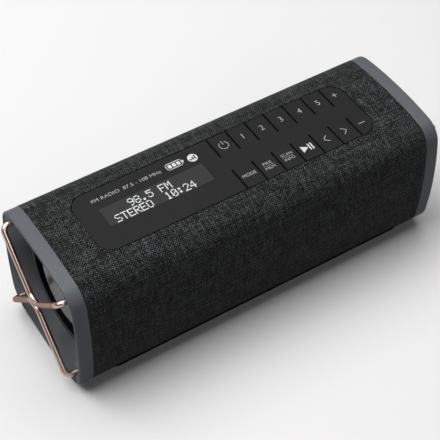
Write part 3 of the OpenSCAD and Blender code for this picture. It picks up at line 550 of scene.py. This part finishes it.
def guard(side, end):
    """Two wires bent to a V, back to back, brazed where they meet."""
    hub = (WIRE_D + CROSS_GAP) / 2 + CROSS_BEND
    span = math.hypot(WIRE_YZ, WIRE_YZ - hub)
    slope = math.atan2(WIRE_YZ - hub, WIRE_YZ) + math.asin(CROSS_BEND / span)
    reach = math.sqrt(span ** 2 - CROSS_BEND ** 2)
    # An arm as (depth, distance run from its foot)
    arm = [(WIRE_END, 0.0), (WIRE_STRAIGHT, 0.0)]
    arm += [(WIRE_BEND * (1 - math.sin(t)) - WIRE_STAND, WIRE_BEND * (1 - math.cos(t)))
            for t in np.linspace(0, math.pi / 2, BEND_POINTS)]
    arm += [(-WIRE_STAND, d) for d in np.linspace(WIRE_BEND, reach, ARM_POINTS)[1:-1]]
    # Half of a wire as (depth, y, z), then the whole wire
    half = [(depth, WIRE_YZ - d * math.cos(slope), WIRE_YZ - d * math.sin(slope)) for depth, d in arm]
    half += [(-WIRE_STAND, CROSS_BEND * math.sin(t), hub - CROSS_BEND * math.cos(t))
             for t in np.linspace(slope, 0, CROSS_POINTS)]
    wire = half + [(depth, -y, z) for depth, y, z in half[-2::-1]]
    shapes = [tube([(end * (HALF_L - depth), y, AXIS_Z + way * z) for depth, y, z in wire], WIRE_D / 2)
              for way in (1, -1)]
    shapes.append(ball(Vector((end * (HALF_L + WIRE_STAND), 0, AXIS_Z)), BEAD_HALF))
    cross = piece("wire_cross_" + side, merged(shapes), MATS["copper_wire"], angle=50.0)
    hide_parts("wire_guard_" + side)


# Radiator discs, in millimetres; the shares are parts of the disc's radius

AXIS_HOLE = 0.02
DISC_BOWL = 2.6
BOWL_SHARE = 0.94
BOWL_POWER = 2.2
BOWL_STEPS = np.linspace(0.06, 1, 18)
DISC_EDGE = ((-0.5, 0.03), (-0.12, 0.2), (0.0, 0.5))  # from the edge, behind the face
BACK_EDGE = 0.1
BACK_SHARE = 0.8


def radiator(side, end):
    outline = [(AXIS_HOLE, DISC_FACE + DISC_BOWL)]
    outline += [(DISC_R * BOWL_SHARE * f, DISC_FACE + DISC_BOWL * (1 - f ** BOWL_POWER)) for f in BOWL_STEPS]
    outline += [(DISC_R + out, DISC_FACE + depth) for out, depth in DISC_EDGE]
    outline += [(DISC_R, DISC_BACK - BACK_EDGE), (DISC_R - BACK_EDGE, DISC_BACK)]
    outline += [(DISC_R * BACK_SHARE, DISC_BACK), (AXIS_HOLE, DISC_BACK + DISC_BOWL)]
    disc = piece("radiator_plate_" + side, lathe(outline, end),
                 MATS["radiator_grey"], "radiator_" + side)
    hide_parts("radiator_disc_" + side)


# Rubber rolls round the discs, in millimetres, in sectors

ROLL_T = 0.8
ROLL_SECTORS = 12
SECTOR_STEPS = 11
ROLL_POINTS = 17
FLANGE_R = 31.0
FLANGE_DEPTH = DISH_DEPTH + OPENING_WALL
LIP_EDGE = ((-0.12, 0.35), (-0.3, 0.2), (-0.5, 0.4))  # from the opening, behind the dish
LIP_FOOT = 0.3
GLUE_LAP = 2.0
GLUE_GAP = 0.02
LOWER_SINE = 0.3  # the lower face keeps the part of its half circle above this sine


def roll_outline():
    """Section of the rubber roll: flange, lip in the opening, upper face, glued edge, lower face."""
    middle, roll = (ROLL_IN_R + OPENING_R) / 2, (OPENING_R - ROLL_IN_R) / 2
    turns = np.linspace(0, math.pi, ROLL_POINTS)

    def bend(r, a):
        return (middle + r * math.cos(a), DISC_BACK + r * math.sin(a))

    outline = [(FLANGE_R, FLANGE_DEPTH), (OPENING_R + LIP_EDGE[0][0], FLANGE_DEPTH)]
    outline += [(OPENING_R + out, DISH_DEPTH + depth) for out, depth in LIP_EDGE]
    outline.append((OPENING_R - ROLL_T, FLANGE_DEPTH + LIP_FOOT))
    outline += [bend(roll - ROLL_T, a) for a in turns]
    outline += [(DISC_R - GLUE_LAP, DISC_BACK + GLUE_GAP), (DISC_R - GLUE_LAP, DISC_BACK + ROLL_T)]
    outline.append((ROLL_IN_R, DISC_BACK + ROLL_T))
    outline += [bend(roll, a) for a in turns[::-1] if math.sin(a) > LOWER_SINE]
    outline += [(OPENING_R, FLANGE_DEPTH + ROLL_T), (FLANGE_R, FLANGE_DEPTH + ROLL_T)]
    return outline


def surround(side, end):
    """The rubber roll in sectors, each reaching from the cap, which holds it, to the disc, which moves."""
    outline = roll_outline()
    turn = 2 * math.pi / ROLL_SECTORS
    for i in range(ROLL_SECTORS):
        turns = np.linspace(i * turn, (i + 1) * turn, SECTOR_STEPS + 1)
        rings = [[on_end(end, r, depth, t) for r, depth in outline] for t in turns]
        sector = piece("rubber_roll_%s_%02d" % (side, i + 1), filled(rings),
                       MATS["black_rubber"], None, 60.0)
        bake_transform(sector)
        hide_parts("radiator_surround_" + side)


for side_name, side_way in (("left", -1), ("right", 1)):
    end_cap(side_name, side_way)
    opening_trim(side_name, side_way)
    guard(side_name, side_way)
    radiator(side_name, side_way)
    surround(side_name, side_way)


# Cloth sleeve, in millimetres: a closed thin tube with three openings cut out of it

SLEEVE_STATIONS = 60
SLEEVE_PROUD = 0.05
SLEEVE_DEEP = 0.9
SLEEVE_EDGE = 0.15
SLEEVE_SOFT = 0.35
SLEEVE_ANGLE = 40.0  # degrees
CUT_NEAR = 20.0
CUT_FAR = 60.0
PAD_CUT_R = 0.5


def sleeve_tube():
    def ring(x, inset):
        return [(x, y, AXIS_Z + z) for y, z in section(inset)]

    stations = np.linspace(-TUBE_END + SLEEVE_EDGE, TUBE_END - SLEEVE_EDGE, SLEEVE_STATIONS)
    rings = [ring(x, -SLEEVE_PROUD) for x in stations]
    rings.append(ring(TUBE_END, SLEEVE_SOFT))
    rings += [ring(x, SLEEVE_DEEP) for x in stations[::-1]]
    rings.append(ring(-TUBE_END, SLEEVE_SOFT))
    return piece("cloth_sleeve", loft(rings), MATS["cloth"], angle=SLEEVE_ANGLE)


def opening_cutters():
    """Prisms for the openings of the strip, the rear panel and the pad."""
    strip = rounded(STRIP_L + 2 * STRIP_GAP, STRIP_W + 2 * STRIP_GAP, STRIP_R + STRIP_GAP)
    rear = rounded(REAR_L + 2 * REAR_CLEAR, REAR_H + 2 * REAR_CLEAR, REAR_R + REAR_CLEAR)
    pad = rounded(PAD_L + 2 * PAD_GAP, 2 * CUT_FAR, PAD_CUT_R)
    pad_top = AXIS_Z - HALF_H + PAD_WRAP + PAD_GAP
    prisms = {
        "cut_strip": [[(x, y, z) for x, y in strip] for z in (AXIS_Z + CUT_NEAR, AXIS_Z + CUT_FAR)],
        "cut_rear": [[(x, y, AXIS_Z + z) for x, z in rear] for y in (CUT_NEAR, CUT_FAR)],
        "cut_pad": [[(x, y, z) for x, y in pad] for z in (-CUT_NEAR, pad_top)],
    }
    return [solid(name, *filled(rings)) for name, rings in prisms.items()]


def cut_openings(obj):
    cutters = opening_cutters()
    for cutter in cutters:
        cut = obj.modifiers.new(cutter.name, "BOOLEAN")
        cut.operation = "DIFFERENCE"
        cut.solver = "EXACT"
        cut.object = cutter
    mesh = evaluated_mesh(obj)
    obj.modifiers.clear()
    obj.data = mesh
    for cutter in cutters:
        bpy.data.objects.remove(cutter)
    smooth(mesh, SLEEVE_ANGLE)


def lay_weave(mesh):
    """Gives each point its place on the flat cloth, counted round from below, and returns the girth."""
    ring = np.array(section(0.0))
    ring = np.roll(ring, -3 * len(ring) // 4, axis=0)
    along = np.roll(ring, -1, axis=0) - ring
    step = np.linalg.norm(along, axis=1)
    run = np.concatenate([[0], np.cumsum(step)])
    values = []
    for v in mesh.vertices:
        p = np.array([v.co.y, v.co.z]) / MM - [0, AXIS_Z]
        f = np.clip(((p - ring) * along).sum(1) / step ** 2, 0, 1)
        near = ((ring + along * f[:, None] - p) ** 2).sum(1).argmin()
        values += [v.co.x / MM, run[near] + f[near] * step[near], 0.0]
    mesh.attributes.new("weave", "FLOAT_VECTOR", "POINT").data.foreach_set("vector", values)
    return run[-1]


def sleeve():
    obj = sleeve_tube()
    cut_openings(obj)
    girth = lay_weave(obj.data)
    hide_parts("fabric_sleeve")


sleeve()


# Printed marks, in millimetres

PRINT_LIFT = 0.03
LINE_W = 0.31
CORNER_LAP = 0.18  # share of a line's width by which its stretches run on, so that corners close

# Lettering, in the font's own units: its thickness, and how much its strokes are thinned
LETTER_T = 0.00001
WORD_SLIM = 0.012
DIGIT_SLIM = 0.017


def marks(name, outlines, mat, body="housing", z=STRIP_Z, lift=PRINT_LIFT):
    """Outlines (x, y) as thin solids about a height."""
    shapes = [filled([[(x, y, z + way * lift) for x, y in outline] for way in (-1, 1)])
              for outline in outlines]
    piece(name, merged(shapes), mat, body, angle=None)


def bar(x0, y0, x1, y1):
    return [(x0, y0), (x1, y0), (x1, y1), (x0, y1)]


def arc(x, y, r, start, stop, n=22):
    turns = np.radians(np.linspace(start, stop, n))
    return [(x + r * math.cos(t), y + r * math.sin(t)) for t in turns]


def moved(outline, x, y):
    return [(x + px, y + py) for px, py in outline]


def stroke(points, width):
    """A rectangle for each stretch of a line."""
    out = []
    for (x0, y0), (x1, y1) in zip(points, points[1:]):
        length = math.hypot(x1 - x0, y1 - y0)
        ux, uy = (x1 - x0) / length, (y1 - y0) / length
        lap = width * CORNER_LAP
        x0, y0, x1, y1 = x0 - ux * lap, y0 - uy * lap, x1 + ux * lap, y1 + uy * lap
        nx, ny = -uy * width / 2, ux * width / 2
        out.append([(x0 + nx, y0 + ny), (x0 - nx, y0 - ny), (x1 - nx, y1 - ny), (x1 + nx, y1 + ny)])
    return out


def lettering(name, text, x, y, height, body, width=None, slim=WORD_SLIM, align="CENTER"):
    """Plain lettering as a thin mesh on the strip; height is that of its capitals."""
    curve = bpy.data.curves.new(name, "FONT")
    curve.body = text
    curve.align_x = align
    curve.extrude = LETTER_T
    curve.offset = -slim
    draft = linked(name, curve)
    mesh = evaluated_mesh(draft)
    bpy.data.objects.remove(draft)
    places = np.array([v.co for v in mesh.vertices])
    low, high = places.min(0), places.max(0)
    ky = height / (high[1] - low[1])
    kx = width / (high[0] - low[0]) if width else ky
    left = x if align == "LEFT" else x - kx * (high[0] - low[0]) / 2
    for v in mesh.vertices:
        lift = PRINT_LIFT if v.co.z > 0 else -PRINT_LIFT
        v.co = Vector((left + kx * (v.co.x - low[0]),
                       y + ky * (v.co.y - (low[1] + high[1]) / 2),
                       STRIP_Z + lift)) * MM
    mesh.materials.clear()
    mesh.materials.append(LINE_INK)
    obj = linked(name, mesh)
    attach(obj, body)


# Marks on the keys, in millimetres from the middle of each mark

REAR, FRONT = 1, -1
LAST_KEY_SHIFT = -0.3
DIGIT_H = 3.6
WORD_H = 2.1
MODE_W = 8.0
PAIR_H = 1.7
PAIR_Y = 1.75
RULE_W = 0.15
RULE_HALF = 3.2
PAUSE_W = 0.8

# Key, column, row and lines
LINE_SIGNS = (
    ("key_power", 0, REAR, [arc(0, -0.4, 2.6, 122, 418), [(0, 0.2), (0, 3.0)]]),
    ("key_volume_up", 6, REAR, [[(-1.5, 0), (1.5, 0)], [(0, -1.5), (0, 1.5)]]),
    ("key_volume_down", 6, FRONT, [[(-1.9, 0), (1.9, 0)]]),
    ("key_previous", 4, FRONT, [[(1.3, 2.3), (-1.3, 0), (1.3, -2.3)]]),
    ("key_next", 5, FRONT, [[(-1.3, 2.3), (1.3, 0), (-1.3, -2.3)]]),
)
PLAY_COLUMN = 3
PLAY_ARROW = [(-3.3, -2.4), (0.7, 0), (-3.3, 2.4)]
PAUSE_LINES = ([(1.4, -2.2), (1.4, 2.2)], [(3.0, -2.2), (3.0, 2.2)])

# Key, column, and its upper and lower words with their widths
WORD_PAIRS = (
    ("key_memory", 1, ("PRE", 5.2), ("MEM", 5.8)),
    ("key_scan", 2, ("SCAN", 6.8), ("INFO", 6.0)),
)


def key_spot(column, row):
    """The middle of a key's mark."""
    if column == KEY_COUNT - 1:
        return KEY_X0 + column * KEY_PITCH + LAST_KEY_L / 2 + LAST_KEY_SHIFT, row * KEY_MARK_Y
    return KEY_X0 + (column + 0.5) * KEY_PITCH, row * KEY_MARK_Y


def key_signs():
    for key, column, row, lines in LINE_SIGNS:
        spot = key_spot(column, row)
        outlines = [outline for line in lines for outline in stroke(moved(line, *spot), LINE_W)]
        marks("mark_" + key, outlines, LINE_INK, key + "_body")
    spot = key_spot(PLAY_COLUMN, FRONT)
    outlines = [moved(PLAY_ARROW, *spot)]
    for line in PAUSE_LINES:
        outlines += stroke(moved(line, *spot), PAUSE_W)
    marks("mark_key_play", outlines, SOLID_INK, "key_play_body")


def key_words():
    for n in range(1, 6):
        x, y = key_spot(n, REAR)
        key = "key_preset_%d" % n
        lettering("mark_" + key, str(n), x, y, DIGIT_H, key + "_body", slim=DIGIT_SLIM)
    x, y = key_spot(0, FRONT)
    lettering("mark_key_mode", "MODE", x, y, WORD_H, "key_mode_body", MODE_W)
    for key, column, (upper, upper_w), (lower, lower_w) in WORD_PAIRS:
        x, y = key_spot(column, FRONT)
        lettering("mark_%s_a" % key, upper, x, y + PAIR_Y, PAIR_H, key + "_body", upper_w)
        lettering("mark_%s_b" % key, lower, x, y - PAIR_Y, PAIR_H, key + "_body", lower_w)
        rule = stroke([(x - RULE_HALF, y), (x + RULE_HALF, y)], RULE_W)
        marks("mark_" + key, rule, LINE_INK, key + "_body")


key_signs()
key_words()


# Thin webs that join the keys' roots to the spine, in millimetres

WEB_SINK = 0.3
WEB_HALF_T = 0.295
WEB_SHORT = 0.1

for row_name, row_way in (("front", FRONT), ("rear", REAR)):
    web = bar(KEY_X0, row_way * SPINE_W / 2, STRIP_L / 2 - WEB_SHORT, row_way * (SPINE_W / 2 + ROOT_GAP))
    marks("root_web_" + row_name, [web], MATS["strip_plastic"], z=STRIP_Z - WEB_SINK, lift=WEB_HALF_T)


# Band figures, a battery sign and a round level sign beside the display, in millimetres

BAND_TEXT = "FM RADIO  87.5 - 108 MHz"
BAND_SPOT = (-72.0, 13.2)
BAND_LENGTH = 40.5

BATTERY_SPOT = (-23.4, 13.6)
BATTERY_CASE = (9.0, 4.2, 1.0)  # length, width, corner radius
BATTERY_LINE = 0.4
BATTERY_TIP = (4.9, -0.9, 5.6, 0.9)
CELL_LEFTS = (-3.5, -0.95, 1.6)
CELL_W = 1.9
CELL_HALF_H = 1.2

LEVEL_SPOT = (-12.7, 12.9)
LEVEL_R = 2.75
LEVEL_TOPS = ((-1.3, -0.3), (0.0, 0.6), (1.3, 1.5))  # middle and top of each bar
LEVEL_FOOT = -1.4
LEVEL_BAR_HALF = 0.4


def battery_sign():
    case = rounded(*BATTERY_CASE, n=5)
    outlines = stroke(case + case[:1], BATTERY_LINE)
    outlines.append(bar(*BATTERY_TIP))
    outlines += [bar(x, -CELL_HALF_H, x + CELL_W, CELL_HALF_H) for x in CELL_LEFTS]
    marks("battery_sign", [moved(outline, *BATTERY_SPOT) for outline in outlines], SOLID_INK)


def level_sign():
    marks("level_disc", [arc(*LEVEL_SPOT, LEVEL_R, 0, 350, n=36)], SOLID_INK)
    bars = [bar(x - LEVEL_BAR_HALF, LEVEL_FOOT, x + LEVEL_BAR_HALF, top) for x, top in LEVEL_TOPS]
    marks("level_bars", [moved(outline, *LEVEL_SPOT) for outline in bars], MATS["strip_plastic"],
          z=STRIP_Z + PRINT_LIFT)


lettering("band_figures", BAND_TEXT, *BAND_SPOT, WORD_H, "housing", BAND_LENGTH, align="LEFT")
battery_sign()
level_sign()


# Display, in millimetres: dot characters of seven rows with five dots each, top row first

FONT = {
    "0": "01110 10001 10011 10101 11001 10001 01110", "1": "00100 01100 00100 00100 00100 00100 01110",
    "2": "01110 10001 00001 00010 00100 01000 11111", "4": "00010 00110 01010 10010 11111 00010 00010",
    "5": "11111 10000 11110 00001 00001 10001 01110", "8": "01110 10001 10001 01110 10001 10001 01110",
    "9": "01110 10001 10001 01111 00001 00010 01100", ".": "00000 00000 00000 00000 00000 01100 01100",
    ":": "00000 01100 01100 00000 01100 01100 00000", "F": "11111 10000 10000 11110 10000 10000 10000",
    "M": "10001 11011 10101 10101 10001 10001 10001", "S": "01111 10000 10000 01110 00001 00001 11110",
    "T": "11111 00100 00100 00100 00100 00100 00100", "E": "11111 10000 10000 11110 10000 10000 11111",
    "R": "11110 10001 10001 11110 10100 10010 10001", "O": "01110 10001 10001 10001 10001 10001 01110",
    " ": "00000 00000 00000 00000 00000 00000 00000",
}
CHARACTER_PITCH = 3.6
DOT_HALF = 0.285
DOT_PITCH_X = 0.64
DOT_PITCH_Y = 0.74
MIDDLE_ROW = 3
DISPLAY_LINES = (("98.5 FM", -56.2, 3.0), ("STEREO  10:24", -66.8, -3.1))  # text, left end, middle


def dots(text, left, middle):
    out = []
    for i, letter in enumerate(text):
        for j, row in enumerate(FONT[letter].split()):
            for k, bit in enumerate(row):
                if bit == "1":
                    x = left + i * CHARACTER_PITCH + k * DOT_PITCH_X
                    y = middle + (MIDDLE_ROW - j) * DOT_PITCH_Y
                    out.append(bar(x - DOT_HALF, y - DOT_HALF, x + DOT_HALF, y + DOT_HALF))
    return out


marks("display_characters", [dot for line in DISPLAY_LINES for dot in dots(*line)], DISPLAY_DOTS,
      z=WINDOW_Z)


# Construction nodes that show, with softer edges, in millimetres

EDGE_ROUNDS = {"display_window": 0.12, "base_pad": 0.5, "aerial_turret": 0.25}
EDGE_ANGLE = 40.0  # degrees
WELD_GAP = 0.01

for edged, edge_round in EDGE_ROUNDS.items():
    weld = NODES[edged].modifiers.new("weld", "WELD")
    weld.merge_threshold = WELD_GAP * MM
    edges = NODES[edged].modifiers.new("edges", "BEVEL")
    edges.width = edge_round * MM
    edges.segments = 2
    edges.limit_method = "ANGLE"
    edges.angle_limit = math.radians(EDGE_ANGLE)
    edges.harden_normals = True


# Stage, light and camera, in metres

FLOOR_HALF = 40.0
FLOOR_TONES = (0.36, 0.37)
GLOW_FROM = 0.35
GLOW_TO = 1.9
GLOW_MOST = 0.8
WORLD_LIGHT = 0.04

# Camera, solved from the strip and the caps; its height counts from the strip's face
CAMERA_XY = (-0.26427, -0.39988)
CAMERA_ABOVE = 0.50067
CAMERA_TURN = (41.3052, -0.6176, -32.4706)  # degrees
LENS_MM = 110.0
SENSOR_MM = 36.0
LENS_SHIFT = (-0.00205, 0.00225)
LENS_CLIP = (0.01, 50.0)


def pale_floor():
    """A pale floor that lightens far from the object, as a lit studio sweep does."""
    s = Shader("floor", Roughness=0.9, Specular_IOR_Level=0.1)
    s.drift(*map(grey, FLOOR_TONES), scale=3.0)
    away = s.node("VectorMath", {0: s.coords()}, operation="LENGTH").outputs["Value"]
    span = {"Value": away, "From Min": GLOW_FROM, "From Max": GLOW_TO, "To Max": GLOW_MOST}
    s.set("Emission Color", grey(1.0))
    s.set("Emission Strength", s.node("MapRange", span, interpolation_type="SMOOTHSTEP").outputs[0])
    corners = bar(-FLOOR_HALF, -FLOOR_HALF, FLOOR_HALF, FLOOR_HALF)
    mesh = bpy.data.meshes.new("floor")
    mesh.from_pydata([(x, y, 0.0) for x, y in corners], [], [(0, 1, 2, 3)])
    mesh.materials.append(s.mat)
    linked("floor", mesh)


def area_light(name, place, aim, size, power):
    lamp = bpy.data.lights.new(name, "AREA")
    lamp.shape = "RECTANGLE"
    lamp.size, lamp.size_y = size
    lamp.energy = power
    obj = linked(name, lamp)
    obj.location = place
    obj.rotation_euler = (Vector(aim) - Vector(place)).to_track_quat("-Z", "Y").to_euler()


def studio_world():
    world = bpy.data.worlds.new("studio")
    world.use_nodes = True
    background = world.node_tree.nodes["Background"]
    background.inputs["Color"].default_value = grey(1.0)
    background.inputs["Strength"].default_value = WORLD_LIGHT
    bpy.context.scene.world = world
    bpy.context.scene.view_settings.view_transform = "Standard"


def photo_camera():
    lens = bpy.data.cameras.new("camera")
    lens.sensor_width = SENSOR_MM
    lens.lens = LENS_MM
    lens.shift_x, lens.shift_y = LENS_SHIFT
    lens.clip_start, lens.clip_end = LENS_CLIP
    camera = linked("camera", lens)
    camera.location = (*CAMERA_XY, CAMERA_ABOVE + STRIP_Z * MM)
    camera.rotation_euler = [math.radians(a) for a in CAMERA_TURN]
    bpy.context.scene.camera = camera


pale_floor()
area_light("top_softbox", place=(0.1, 0.5, 1.7), aim=(0, 0, 0), size=(2.4, 1.8), power=52)
area_light("end_softbox", place=(-0.6, 0.35, 1.5), aim=(-0.1, 0, 0.05), size=(1.1, 1.1), power=42)
area_light("front_softbox", place=(-0.05, -1.0, 0.85), aim=(-0.11, 0, 0.04), size=(0.6, 0.45), power=3.1)
studio_world()
photo_camera()
